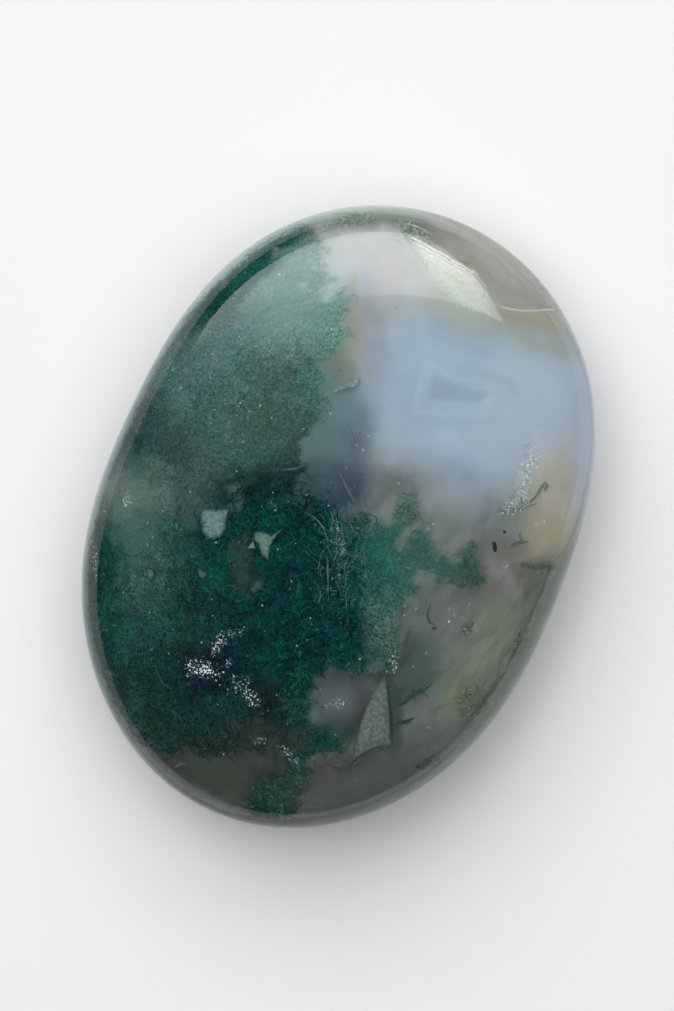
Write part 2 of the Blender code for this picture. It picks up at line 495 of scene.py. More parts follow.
# The inner frame of the cloud: a light line round a slightly darker core, and a light arc beside it
CLOUD_FRAME = [(424, 363), (431, 366), (450, 380), (476, 382), (504, 389), (482, 418), (413, 413)]
CLOUD_CORE = [(431, 376), (468, 390), (489, 395), (477, 405), (425, 402)]
CLOUD_ARC = [(536, 366), (543, 380), (544, 398), (538, 414), (526, 430)]

# Small tangles of moss: middle, half sizes, tilt, how many, dark tone, bright tone, depths in millimetres,
# length in pixels
TUFTS = {
    "by the veil": ((415, 236), (20, 7), -30, 170, (60, 124, 92), (232, 244, 232), (0.04, 0.3), 12),
    "at the top": ((354, 222), (24, 6), 8, 110, (34, 98, 70), (150, 186, 160), (0.04, 0.3), 10),
    "right hook": ((510, 506), (16, 7), 25, 40, (70, 116, 92), (120, 156, 130), (0.2, 0.6), 10),
    "right blob": ((540, 566), (18, 4), 0, 90, (46, 88, 70), (92, 126, 102), (0.3, 0.9), 7),
    "tongue": ((462, 572), (16, 12), 40, 150, (14, 90, 76), (70, 146, 126), (0.3, 1.2), 9),
    "tongue tip": ((474, 578), (8, 6), 0, 90, (6, 84, 70), (44, 124, 106), (0.2, 0.8), 7),
    "tongue arm": ((468, 552), (6, 12), -10, 70, (44, 110, 94), (84, 146, 126), (0.3, 0.9), 7),
    "top lobe": ((406, 508), (12, 16), 0, 150, (60, 116, 102), (120, 172, 154), (0.2, 0.9), 8),
    "smudge": ((464, 626), (9, 5), 40, 40, (64, 100, 84), (92, 124, 104), (0.3, 0.8), 9),
    "tuft at the right": ((521, 640), (7, 13), -12, 110, (26, 78, 54), (170, 184, 162), (0.1, 0.5), 9),
    "low tangle": ((473, 699), (22, 16), 30, 190, (70, 104, 80), (186, 190, 156), (0.2, 0.9), 9),
    "low wisps": ((414, 690), (14, 3), 38, 30, (12, 78, 64), (62, 116, 96), (0.3, 0.9), 9),
    "low dark tuft": ((428, 761), (14, 5), 14, 60, (30, 70, 58), (84, 112, 96), (0.1, 0.5), 9),
    "bottom clump": ((272, 796), (22, 18), 0, 150, (8, 66, 60), (84, 140, 124), (0.1, 0.8), 13),
    "bottom clump right": ((298, 776), (9, 10), 0, 70, (8, 66, 58), (60, 116, 98), (0.1, 0.7), 10),
    "plume": ((298, 684), (12, 38), -8, 130, (2, 60, 58), (34, 124, 100), (0.1, 0.7), 14),
    "green spot": ((175, 524), (8, 9), 0, 40, (36, 96, 82), (80, 138, 116), (0.1, 0.5), 8),
}

# Single filaments: corners, depth in millimetres, width in pixels, colour
FILAMENTS = {
    "hook": ([(524, 504), (531, 499), (536, 493), (539, 487), (544, 482)], 0.30, 2.2, (84, 124, 100)),
    "hook tip": ([(544, 483), (545, 487), (541, 491)], 0.30, 1.6, (92, 130, 106)),
    "hook arm": ([(536, 502), (529, 506), (521, 507), (513, 512), (499, 515)], 0.30, 2.2, (92, 126, 104)),
    "twig": ([(526, 541), (519, 541), (513, 543), (507, 547)], 0.35, 3.0, (76, 118, 98)),
    "twig branch": ([(519, 541), (517, 536), (517, 530)], 0.35, 1.6, (92, 124, 104)),
    "blob": ([(518, 563), (527, 565), (534, 566), (542, 566), (552, 566)], 0.60, 4.0, (80, 110, 92)),
    "low wisp": ([(397, 702), (406, 697), (413, 690), (420, 689), (430, 680)], 0.40, 3.4, (22, 84, 70)),
    "second low wisp": ([(392, 723), (399, 718), (404, 719), (412, 715)], 0.40, 2.8, (16, 76, 62)),
    "low hook": ([(429, 601), (426, 610), (426, 618), (430, 622), (434, 626)], 0.30, 1.0, (76, 102, 92)),
    "low hook end": ([(431, 625), (435, 627)], 0.25, 2.2, (52, 92, 80)),
    "facet rim": ([(349, 765), (353, 757), (366, 749), (378, 743), (389, 742)], 0.25, 2.2, (24, 70, 62)),
    "facet side": ([(386, 672), (389, 700), (391, 722), (392, 742)], 0.25, 1.6, (30, 72, 62)),
    "bottom branch": ([(300, 792), (301, 780), (304, 768), (312, 764)], 0.25, 5.0, (10, 68, 58)),
}

# Light lines thinner than a pixel or two: corners, depth in millimetres, width in pixels, colour
FINE_LINES = {
    "slate streak": ([(338, 470), (346, 488), (355, 504)], 0.06, 1.0, (140, 152, 158)),
    "slate scratch": ([(362, 430), (357, 441), (352, 452)], 0.06, 0.8, (132, 146, 156)),
    "core top streak": ([(281, 470), (291, 470), (300, 469), (309, 463)], 0.10, 1.6, (84, 104, 104)),
    "upright": ([(327, 543), (328, 568), (328, 594)], 0.06, 1.0, (120, 162, 156)),
    "arc": ([(303, 511), (315, 516), (326, 530), (328, 545)], 0.06, 1.0, (112, 152, 148)),
    "white arc": ([(174, 769), (178, 764), (183, 760), (191, 762)], 0.06, 2.4, (122, 136, 128)),
    "left curl": ([(158, 664), (161, 674), (166, 682), (174, 686)], 0.08, 1.2, (60, 128, 116)),
    "second left curl": ([(168, 704), (174, 706), (178, 712), (180, 717)], 0.08, 1.2, (70, 132, 120)),
    "top rim line": ([(330, 217), (345, 215), (360, 216), (371, 218)], 0.06, 1.2, (120, 176, 146)),
    "top left streak": ([(300, 246), (318, 236), (336, 231), (352, 230)], 0.06, 1.6, (180, 186, 168)),
    "tangle thread": ([(398, 227), (410, 226), (424, 233), (436, 241), (443, 252)], 0.03, 1.4,
                      (222, 240, 226)),
    "left rim fleck": ([(207, 296), (210, 289)], 0.05, 1.8, (206, 216, 212)),
    "left band fleck": ([(271, 251), (279, 250)], 0.05, 1.6, (176, 206, 196)),
}

# Scattered scratches: middle, half sizes, how many, lean in degrees, spread, lengths in pixels, colour
SCRATCHES = {
    "cluster upright": ((343, 556), (22, 44), 34, 84, 14, (6, 24), (150, 196, 196)),
    "cluster across": ((346, 536), (26, 34), 40, -48, 22, (4, 18), (150, 196, 196)),
    "cluster": ((344, 562), (24, 54), 130, 70, 60, (1, 5), (176, 216, 214)),
    "cluster foot": ((350, 596), (18, 26), 40, 60, 60, (1, 5), (160, 200, 192)),
    "core": ((285, 565), (62, 64), 90, 60, 60, (3, 11), (60, 150, 132)),
    "slate": ((352, 450), (12, 24), 7, -66, 8, (12, 26), (128, 144, 154)),
    "beige shade": ((522, 482), (14, 30), 26, 100, 50, (2, 6), (132, 138, 122)),
    "veil edge": ((462, 266), (14, 6), 26, -36, 14, (4, 10), (226, 236, 222)),
    "veil edge shade": ((452, 262), (16, 7), 26, -36, 18, (4, 10), (150, 162, 146)),
    "felt haze": ((292, 284), (40, 26), 70, 20, 30, (2, 8), (184, 214, 212)),
    "felt": ((250, 390), (70, 70), 60, 70, 60, (2, 6), (116, 166, 156)),
    "top tangle": ((352, 223), (24, 7), 16, 10, 50, (3, 7), (206, 214, 204)),
    "veil tangle": ((421, 238), (22, 9), 44, -30, 34, (4, 14), (216, 236, 218)),
    "left flank": ((140, 590), (40, 90), 50, 90, 50, (2, 6), (110, 146, 134)),
}

# Plates inside the stone: corners, depth and thickness in millimetres, raggedness in pixels, colour and
# rim colour
QUARTZ = {
    "spot": ([(204, 512), (209, 509), (219, 511), (231, 509), (228, 517), (228, 527), (224, 534), (216, 538),
              (209, 537), (205, 528)], 0.10, 0.2, 3.0, (116, 128, 128), (66, 86, 86)),
    "star": ([(284, 528), (273, 535), (266, 532), (257, 532), (256, 539), (261, 545), (263, 553), (270, 559),
              (271, 548), (274, 540)], 0.10, 0.2, 1.6, (116, 130, 122), (52, 78, 74)),
    "star corner": ([(255, 540), (250, 547), (257, 548)], 0.08, 0.1, 0.8, (140, 150, 142), (80, 98, 92)),
    "facet": ([(384, 676), (387, 690), (388, 720), (390, 741), (377, 745), (363, 751), (353, 762), (356, 740),
               (364, 712), (374, 690)], 0.35, 0.3, 0.6, (108, 118, 111), (94, 102, 96)),
    "small spot": ([(201, 568), (206, 569), (209, 572), (206, 577), (202, 576)], 0.10, 0.1, 2.0, (82, 96, 92),
                   (40, 72, 68)),
    "left spot": ([(150, 567), (156, 568), (157, 574), (155, 580), (151, 577)], 0.10, 0.1, 2.0, (90, 104, 98),
                  (50, 72, 68)),
    "lens foot": ([(251, 588), (258, 580), (264, 580), (263, 588), (255, 591)], 0.12, 0.1, 1.6, (68, 80, 80),
                  (36, 60, 60)),
    "crescent": ([(329, 398), (336, 391), (344, 387), (352, 384), (358, 382), (358, 386), (351, 390),
                  (343, 391), (336, 394)], 0.10, 0.1, 0.4, (140, 152, 158), (126, 138, 144)),
}
BLACK_SPECKS = {
    "larger": ([(489.5, 541.5), (493, 542), (494, 546), (494, 550), (491.5, 551), (490, 548)], 0.02, 0.12,
               0.4, (0, 1, 1), (1, 2, 2)),
    "smaller": ([(500, 530), (502.5, 530), (503.5, 532), (501, 533.5)], 0.02, 0.08,
                0.3, (1, 2, 2), (2, 3, 3)),
}

# White flecks in the beige patch: from and to these pixels, their spread across and how many
FLECKS = ((532, 444), (514, 508), 6.5, 110)

# Single bright grains: place and radius in pixels
GRAINS = [
    (398, 483, 2.2), (437, 716, 2.0), (428, 725, 1.7), (425, 650, 1.8), (484, 652, 1.4), (465, 607, 1.8),
    (460, 617, 2.4), (414, 607, 2.2), (395, 648, 2.0), (392, 657, 2.4), (391, 667, 1.6), (540, 547, 1.4),
    (529, 446, 2.4), (523, 484, 2.0), (545, 455, 1.6), (560, 490, 1.8), (456, 544, 1.4), (474, 523, 1.2),
    (327, 703, 1.8), (343, 699, 1.6), (127, 591, 1.6), (129, 505, 2.0), (100, 553, 1.4), (166, 512, 1.4),
    (149, 728, 1.6), (108, 629, 1.5), (116, 624, 1.3), (284, 620, 1.2), (154, 646, 1.6), (250, 693, 2.2),
    (258, 701, 1.8), (398, 558, 1.4), (407, 566, 1.6), (384, 577, 1.4), (403, 604, 1.6), (296, 756, 1.6),
]


MOSS_RAGGED = 12  # pixels by which the moss's outline goes in and out
MOSS_SOFTNESS = 10  # pixels from its outline to where its field is 1
TONE_RAGGED = 8  # pixels by which the outlines of its tones go in and out
CLUMP_CONTRAST = 1.1
GAP_SHARE = 0.7  # how much of the milky body shows in the moss's gaps


def drift(points):
    """Noise that makes the patches' outlines ragged, one for each direction."""
    return [2 * ragged_noise(points, 3 * MM, coarse) + ragged_noise(points, 1 * MM, fine)
            for coarse, fine in ((11, 47), (29, 53))]


def moss_field(points):
    """Above 0 where the moss grows."""
    px, py = photo_pixel(points)
    across, down = drift(points)
    px, py = px + MOSS_RAGGED * across, py + MOSS_RAGGED * down
    return -edge_distance(px, py, MOSS_OUTLINE) / MOSS_SOFTNESS


def rim_share(points):
    """1 in the clear band along the stone's edge and 0 away from it."""
    height = points[..., 2]
    wave = RIM_WAVE * ragged_noise(points, 9 * MM, 107) * (height < 0)
    return ease(height, *RIM_TOP) * ease(height + wave, *RIM_FOOT)


def rim_shade_line(points):
    """1 on the painted shade line above the clear band, except beside the cloud and the veil."""
    px, py = photo_pixel(points)
    low, dark, still_dark, high = RIM_SHADE_LINE
    height = points[..., 2]
    line = ease(height, low, dark) * ease(height, high, still_dark)
    return line * (1 - soft_ellipse(px, py, *RIM_LINE_GAP, 0, 0.25))


# The band's colours round the stone, with their painted light and shade.
def rim_colours(points):
    px, py = photo_pixel(points)
    turn = np.degrees(np.arctan2(PHOTO_MIDDLE[1] - py, px - PHOTO_MIDDLE[0]))
    turns = [turn for turn, _ in RIM.values()]
    channels = np.array([srgb(*rgb) for _, rgb in RIM.values()]).T
    return np.stack([np.interp(turn, turns, channel, period=360) for channel in channels], -1)


# Where the moss lies deeper and looks smooth: middle, half sizes, tilt, how much
CALM = {
    "upper felt": ((292, 292), (62, 50), 30, 0.75),
    "left flank": ((128, 506), (36, 62), 0, 0.8),
    "left of the spot": ((185, 505), (36, 34), 0, 0.6),
    "grey lens": ((246, 566), (12, 26), 8, 0.8),
    "right of the core": ((420, 545), (60, 50), 0, 0.55),
    "by the swirl": ((270, 680), (22, 16), -20, 0.5),
    "smear": ((270, 732), (40, 16), -8, 0.6),
}


def calm(points):
    return highest(*photo_pixel(points), CALM.values(), 0.5)


def moss_share(points):
    """How thick the moss grows: less at its border, and hardly in the clear band along the edge."""
    return ease(moss_field(points), -0.6, 0.8) * (1 - RIM_COVER * rim_share(points))


def moss_cover(points):
    """How much of the milky body the moss hides: all of it in thick moss, less in its gaps."""
    gaps = ease(ragged_noise(points, 2.4 * MM, 97, 5), 0.10, 0.34)
    return moss_share(points) * (1 - GAP_SHARE * gaps)


def clumps(points):
    """How bright the moss is from place to place, around 1, and darker on the painted shade line."""
    lumps = 1 + CLUMP_CONTRAST * ragged_noise(points, 3 * MM, 101)
    return lumps * (1 - RIM_LINE_MOSS_SHADE * rim_shade_line(points))


# Seen colours of the moss: middle, half sizes, tilt, dark tone, bright tone, softness of the rim
MOSS_TONES = {
    "felt": ((250, 385), (100, 118), 30, (34, 90, 88), (108, 176, 166), 0.3),
    "felt lower middle": ((264, 420), (50, 38), 0, (30, 70, 64), (84, 138, 120), 0.6),
    "felt grey": ((286, 354), (34, 26), 20, (50, 68, 66), (88, 122, 114), 0.6),
    "felt border": ((330, 335), (14, 50), 4, (52, 106, 88), (116, 184, 150), 0.5),
    "felt upper": ((282, 300), (64, 56), 30, (84, 132, 126), (150, 202, 192), 0.5),
    "edge band": ((236, 285), (96, 20), 43, (6, 62, 58), (66, 146, 128), 0.4),
    "felt left": ((152, 458), (58, 78), 60, (12, 52, 54), (60, 110, 104), 0.35),
    "grey left": ((132, 500), (44, 36), 20, (92, 110, 106), (128, 146, 138), 0.5),
    "grey round the spot": ((198, 502), (20, 46), -8, (60, 76, 78), (90, 112, 110), 0.5),
    "left flank": ((150, 600), (75, 90), 80, (20, 66, 64), (64, 136, 124), 0.35),
    "left flank light": ((146, 562), (34, 46), 0, (60, 92, 88), (104, 150, 140), 0.6),
    "left rim": ((98, 596), (20, 104), 5, (0, 44, 42), (30, 128, 112), 0.5),
    "core": ((288, 592), (108, 102), 70, (0, 34, 42), (0, 142, 126), 0.22),
    "core top": ((246, 486), (34, 24), 20, (0, 30, 34), (4, 80, 74), 0.6),
    "slate side": ((312, 462), (32, 48), -20, (0, 24, 32), (24, 62, 64), 0.6),
    "beside the scratches": ((378, 522), (20, 18), 0, (0, 42, 42), (32, 86, 78), 0.6),
    "core right": ((384, 586), (20, 54), 0, (108, 132, 124), (156, 188, 174), 0.6),
    "heart": ((300, 620), (60, 70), 60, (0, 28, 44), (0, 132, 116), 0.45),
    "grey lens": ((245, 564), (13, 27), 8, (50, 64, 62), (78, 104, 96), 0.5),
    "lower": ((215, 715), (95, 56), 140, (12, 44, 48), (36, 116, 108), 0.3),
    "lower border": ((215, 744), (58, 14), -5, (26, 52, 48), (56, 84, 74), 0.7),
    "blue pocket": ((208, 668), (36, 26), 30, (2, 30, 48), (20, 62, 84), 0.5),
    "lower edge": ((140, 735), (80, 30), 130, (24, 56, 54), (66, 116, 104), 0.5),
    "plume": ((304, 700), (20, 62), -6, (0, 38, 42), (20, 118, 94), 0.5),
    "grey by the swirl": ((260, 690), (26, 18), -20, (20, 38, 38), (48, 72, 68), 0.6),
    "smear": ((270, 733), (38, 15), -8, (44, 54, 52), (72, 86, 80), 0.6),
    "bottom green": ((280, 792), (30, 28), 0, (0, 52, 50), (30, 112, 98), 0.5),
    "green foot": ((330, 744), (24, 16), 10, (0, 48, 48), (20, 100, 90), 0.5),
    "moss right": ((420, 555), (70, 60), 20, (24, 92, 84), (68, 150, 134), 0.4),
    "moss right top": ((408, 508), (18, 18), 0, (52, 112, 98), (120, 180, 158), 0.5),
    "moss right tips": ((468, 568), (22, 20), 40, (8, 84, 74), (64, 142, 120), 0.5),
}
MOSS_DARK = (10, 46, 44)
MOSS_BRIGHT = (50, 120, 98)

# Light goes in and out of the clear skin several times, so what lies below it looks darker than it is
SKIN_ESCAPE = 0.40
MILKY_GAIN = 1.80
MOSS_GAIN = 0.90
QUARTZ_GAIN = 1.30
STROKE_GAIN = 1.00


def seen_through_skin(colour, gain=MILKY_GAIN):
    """The colour that a thing below the skin needs for it to be seen in this one."""
    seen = colour * gain
    return np.clip(seen / (SKIN_ESCAPE + (1 - SKIN_ESCAPE) * seen), 0, 0.97)


def moss_tones(points):
    px, py = photo_pixel(points)
    across, down = drift(points)
    dark, bright = plain_colour(px, MOSS_DARK), plain_colour(px, MOSS_BRIGHT)
    px, py = px + TONE_RAGGED * across, py + TONE_RAGGED * down
    for middle, size, tilt, low, high, edge in MOSS_TONES.values():
        here = soft_ellipse(px, py, middle, size, tilt, edge)
        paint_over(dark, here, low)
        paint_over(bright, here, high)
    return dark, bright


# The skin's haze, with the painted reflection over the upper felt.
def paint_haze_and_reflection(points):
    px, py = photo_pixel(points)
    colour = plain_colour(px, SKIN_TINT)
    haze = np.full(px.shape, CLEAR_HAZE)
    for middle, size, tilt, rgb, amount, edge in HAZE_AND_REFLECTION.values():
        here = soft_ellipse(px, py, middle, size, tilt, edge)
        paint_over(colour, here, rgb)
        haze += here * (amount - haze)
    return colour, haze


def paint_specks_and_glints(points):
    """The share of the specks that show."""
    return highest(*photo_pixel(points), SPECKS_AND_GLINTS.values(), 0.6, BARE_SPECKS) * (points[..., 2] > 0)


def paint_body(points):
    px, py = photo_pixel(points)
    across, down = drift(points)
    colour = plain_colour(px, CLEAR_COLOUR)
    for middle, size, tilt, rgb, edge, ragged in PATCHES.values():
        here = soft_ellipse(px + ragged * across, py + ragged * down, middle, size, tilt, edge)
        paint_over(colour, here, rgb)
    # Painted shade on the line above the clear band.
    colour *= 1 - RIM_LINE_SHADE * rim_shade_line(points)[..., None]
    # The clear band, with its painted light and shade and more painted light at the very edge.
    rim = RIM_COVER * rim_share(points)
    light = 1 + RIM_PAINTED_LIGHT * ease(points[..., 2], *RIM_SIDE) * ease(points[..., 2], *RIM_UNDER)
    colour += rim[..., None] * (rim_colours(points) * light[..., None] - colour)
    paint_over(colour, UNDERSIDE_SHARE * ease(points[..., 2], *UNDERSIDE_START), UNDERSIDE_COLOUR)
    dark, bright = moss_tones(points)
    share = np.clip(0.18 + 0.14 * ragged_noise(points, 0.8 * MM, 83), 0, 1) * clumps(points)
    moss = dark + share[:, None] * (bright - dark)
    cover = moss_cover(points)[:, None]
    return seen_through_skin(colour) * (1 - cover) + seen_through_skin(moss, MOSS_GAIN) * cover


# Materials
def new_material(name):
    material = bpy.data.materials.new(name)
    material.use_nodes = True
    return material, material.node_tree, material.node_tree.nodes["Principled BSDF"]


def add_node(tree, kind, settings=None, inputs=()):
    """Adds a node. settings are its attributes, inputs pair a socket with a value or a node's output."""
    node = tree.nodes.new(kind)
    for key, value in (settings or {}).items():
        setattr(node, key, value)
    for key, value in inputs:
        if isinstance(value, bpy.types.NodeSocket):
            tree.links.new(value, node.inputs[key])
        else:
            node.inputs[key].default_value = value
    return node


def mapped(tree, value, low, high, to_low, to_high, kind="LINEAR"):
    inputs = [(0, value), (1, low), (2, high), (3, to_low), (4, to_high)]
    return add_node(tree, "ShaderNodeMapRange", {"interpolation_type": kind}, inputs).outputs[0]


def maths(tree, operation, first, second=0.0):
    return add_node(tree, "ShaderNodeMath", {"operation": operation}, [(0, first), (1, second)]).outputs[0]


def product(tree, first, second):
    return maths(tree, "MULTIPLY", first, second)


def mixed(tree, share, first, second, blend="MIX"):
    inputs = [(0, share), (6, first), (7, second)]
    return add_node(tree, "ShaderNodeMix", {"data_type": "RGBA", "blend_type": blend}, inputs).outputs[2]


def attribute(tree, name, output="Fac"):
    return add_node(tree, "ShaderNodeAttribute", {"attribute_name": name}).outputs[output]


def stone_place(tree):
    return add_node(tree, "ShaderNodeTexCoord").outputs["Object"]


def noise(tree, place, scale, detail, roughness=0.55):
    inputs = [("Vector", place), ("Scale", scale), ("Detail", detail), ("Roughness", roughness)]
    return add_node(tree, "ShaderNodeTexNoise", None, inputs).outputs[0]


def mottle_noise(tree, place):
    """The soft unevenness that skin and body share."""
    return noise(tree, place, 420.0, 5.0)


def set_matte(shader, roughness, gloss):
    shader.inputs["Roughness"].default_value = roughness
    shader.inputs["Specular IOR Level"].default_value = gloss


def colour_of(rgb):
    return (*srgb(*rgb), 1)


def speck_and_glint_share(tree, place):
    """Small ragged specks, partly flaws, partly painted glints, in clumps, as many as the mesh asks for."""
    asked = attribute(tree, "specks")
    shaken = add_node(tree, "ShaderNodeTexNoise", None, [("Vector", place), ("Scale", 9000.0)])
    inputs = [(0, shaken.outputs["Color"]), ("Scale", SPECK_SHAKE)]
    shaken = add_node(tree, "ShaderNodeVectorMath", {"operation": "SCALE"}, inputs)
    place = add_node(tree, "ShaderNodeVectorMath", None, [(0, place), (1, shaken.outputs[0])]).outputs[0]
    cells = add_node(tree, "ShaderNodeTexVoronoi", None, [("Vector", place), ("Scale", SPECK_CELLS)])
    draw = add_node(tree, "ShaderNodeSeparateColor", None, [(0, cells.outputs["Color"])])
    clumps = mapped(tree, noise(tree, place, 2000.0, 2.0), 0.42, 0.62, 0.15, 1.7)
    share = product(tree, asked, clumps)
    chosen = maths(tree, "LESS_THAN", draw.outputs[0], share)
    reach = mapped(tree, draw.outputs[1], 0.0, 1.0, 0.14, 0.66)
    inside = maths(tree, "SUBTRACT", reach, cells.outputs["Distance"])
    strength = mapped(tree, draw.outputs[2], 0.0, 1.0, 0.15, 0.95)
    single = product(tree, chosen, mapped(tree, inside, -0.08, 0.10, 0.0, strength))
    thick = mapped(tree, asked, 0.08, 0.14, 0.0, 1.0)
    bar = mapped(tree, asked, 0.10, 1.0, 0.62, 0.44)
    crust = maths(tree, "SUBTRACT", noise(tree, place, 5600.0, 3.0, 0.65), bar)
    crust = product(tree, mapped(tree, crust, 0.0, 0.03, 0.0, 0.95), thick)
    single = product(tree, single, maths(tree, "SUBTRACT", 1.0, thick))
    return maths(tree, "MAXIMUM", single, crust)


def veil_share(tree, place):
    """How much of the veil shows, with fine lines along its crisp edge."""
    edge = attribute(tree, "veil_edge")
    wobble = product(tree, noise(tree, place, 700.0, 3.0, 0.6), 14.0)
    ridges = maths(tree, "SINE", maths(tree, "ADD", product(tree, edge, 2.1), wobble))
    ridges = mapped(tree, ridges, -1.0, 0.2, 1.0, 0.0)
    dark_lines = product(tree, ridges, mapped(tree, edge, -11.0, -4.0, 0.0, 0.55))
    grain = mapped(tree, noise(tree, place, 3200.0, 3.0, 0.6), 0.35, 0.65, 0.82, 1.08)
    share = product(tree, attribute(tree, "veil"), maths(tree, "SUBTRACT", grain, dark_lines))
    share = product(tree, share, mapped(tree, edge, -0.8, 0.8, 1.0, 0.0))
    share = product(tree, share, mapped(tree, edge, -20.0, -6.0, 0.68, 1.0, "SMOOTHSTEP"))
    foot = mapped(tree, attribute(tree, "veil_foot"), 0.0, VEIL_SOFTNESS, 0.0, 1.0, "SMOOTHSTEP")
    share = product(tree, share, foot)
    thread = maths(tree, "ABSOLUTE", attribute(tree, "thread_distance"))
    thread = product(tree, mapped(tree, thread, 0.3, 1.2, 0.7, 0.0), attribute(tree, "thread"))
    return maths(tree, "MAXIMUM", share, thread)


def skin_material():
    """Clear chalcedony with a faint haze, in places a painted reflection, and white specks, partly where
    small flaws break the surface and partly painted glints.
    """
    material, tree, shader = new_material("polished_chalcedony")
    place = stone_place(tree)
    mottle = mottle_noise(tree, place)
    haze = product(tree, attribute(tree, "haze"), mapped(tree, mottle, 0.3, 0.7, 0.88, 1.12))

    speck = speck_and_glint_share(tree, place)
    haze = maths(tree, "MAXIMUM", haze, speck)
    colour = mixed(tree, speck, attribute(tree, "haze_colour", "Color"), SPECK_COLOUR)
    veil = product(tree, veil_share(tree, place), VEIL_STRENGTH)
    haze = maths(tree, "MAXIMUM", haze, veil)
    tip = mapped(tree, attribute(tree, "veil_edge"), -24.0, -8.0, 1.0, 0.0)
    white = mixed(tree, tip, colour_of(VEIL_SKIN_COLOUR), colour_of(VEIL_TIP_COLOUR))
    colour = mixed(tree, veil, colour, white)
    tree.links.new(colour, shader.inputs["Base Color"])
    tree.links.new(maths(tree, "SUBTRACT", 1.0, haze), shader.inputs["Transmission Weight"])
    tree.links.new(mapped(tree, mottle, 0.3, 0.7, 0.02, 0.04), shader.inputs["Roughness"])
    shader.inputs["IOR"].default_value = CHALCEDONY_IOR
    inputs = [("Color", CHALCEDONY_TINT), ("Density", CHALCEDONY_DENSITY)]
    depth = add_node(tree, "ShaderNodeVolumeAbsorption", None, inputs)
    tree.links.new(depth.outputs[0], tree.nodes["Material Output"].inputs["Volume"])
    return material


def inner_colour(rgb):
    return (*seen_through_skin(srgb(*rgb)), 1)


def body_material():
    """The milky and mossy body. Its crisp markings are drawn from distances that the mesh carries."""
    material, tree, shader = new_material("milky_chalcedony")
    place = stone_place(tree)
    colour = attribute(tree, "body_colour", "Color")

    mottle = mottle_noise(tree, place)
    colour = mixed(tree, 1.0, colour, mapped(tree, mottle, 0.3, 0.7, 0.94, 1.05), "MULTIPLY")
    grain = noise(tree, place, 4200.0, 3.0, 0.6)
    grainy = mixed(tree, 1.0, colour, mapped(tree, grain, 0.35, 0.65, 0.25, 2.0), "MULTIPLY")
    colour = mixed(tree, attribute(tree, "moss"), colour, grainy)

    # The cloud's inner frame, a light line round a darker core, then the arc beside it and the veil
    frame_edge = attribute(tree, "cloud_frame")
    line = mapped(tree, maths(tree, "ABSOLUTE", frame_edge), 0.0, 5.5, 0.85, 0.0, "SMOOTHSTEP")
    core = mapped(tree, attribute(tree, "cloud_core"), -5.0, 3.0, 0.80, 0.0, "SMOOTHSTEP")
    shade = mapped(tree, frame_edge, -2.0, 6.0, 0.0, 1.0)
    shade = product(tree, shade, mapped(tree, frame_edge, 6.0, 14.0, 0.30, 0.0))
    layers = [(shade, (140, 156, 172)), (line, (178, 200, 216)), (core, (126, 137, 150)),
              (attribute(tree, "cloud_arc"), (180, 202, 220)), (veil_share(tree, place), VEIL_COLOUR)]
    for share, rgb in layers:
        colour = mixed(tree, share, colour, inner_colour(rgb))
    tree.links.new(colour, shader.inputs["Base Color"])
    set_matte(shader, 0.7, 0.1)
    return material


def grown_material(name, scale, darkest, lightest):
    """What has grown in the stone takes its colour from its own mesh, with a fine grain."""
    material, tree, shader = new_material(name)
    grain = noise(tree, stone_place(tree), scale, 3.0, 0.6)
    colour = attribute(tree, "own_colour", "Color")
    colour = mixed(tree, 1.0, colour, mapped(tree, grain, 0.3, 0.7, darkest, lightest), "MULTIPLY")
    tree.links.new(colour, shader.inputs["Base Color"])
    set_matte(shader, 0.6, 0.1)
    return material


# Pieces
def add_piece(name, data, material):
    piece = bpy.data.objects.new(name, data)
    SCENE.collection.objects.link(piece)
    data.materials.append(material)
    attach(piece, BODY)
    return piece


def set_values(data, name, values):
    data.attributes.new(name, "FLOAT", "POINT").data.foreach_set("value", values)


def set_colours(data, name, colours):
    rgba = np.concatenate([colours, np.ones((len(colours), 1))], 1)
    data.attributes.new(name, "FLOAT_COLOR", "POINT").data.foreach_set("color", rgba.ravel())


def ball_data(name, cuts):
    """A cube cut into squares, and the directions from its middle to its points, spread evenly."""
    mesh = bmesh.new()
    bmesh.ops.create_cube(mesh, size=2.0)
    bmesh.ops.subdivide_edges(mesh, edges=mesh.edges[:], cuts=cuts, use_grid_fill=True)
    data = bpy.data.meshes.new(name)
    mesh.to_mesh(data)
    mesh.free()
    corners = np.empty(len(data.vertices) * 3)
    data.vertices.foreach_get("co", corners)
    corners = np.tan(math.pi / 4 * corners.reshape(-1, 3))
    return data, corners / np.linalg.norm(corners, axis=1, keepdims=True)


def place_points(data, points):
    """Lifts points, which are measured from the middle of the widest level, to where the stone rests."""
    lifted = points - MIDDLE + np.array([0, 0, LEVEL])
    lifted[:, 2] = np.maximum(lifted[:, 2], FLOOR_GAP)
    data.vertices.foreach_set("co", lifted.ravel())
    data.update()
    data.shade_smooth()


skin_data, directions = ball_data("agate_skin", SKIN_CUTS)
skin = on_stone(directions)
LEVEL = -skin[:, 2].min() - FLAT_CUT  # height of the widest level over the floor
place_points(skin_data, skin)


FAR = 99.0  # pixels to a marking of the top from everywhere on the underside


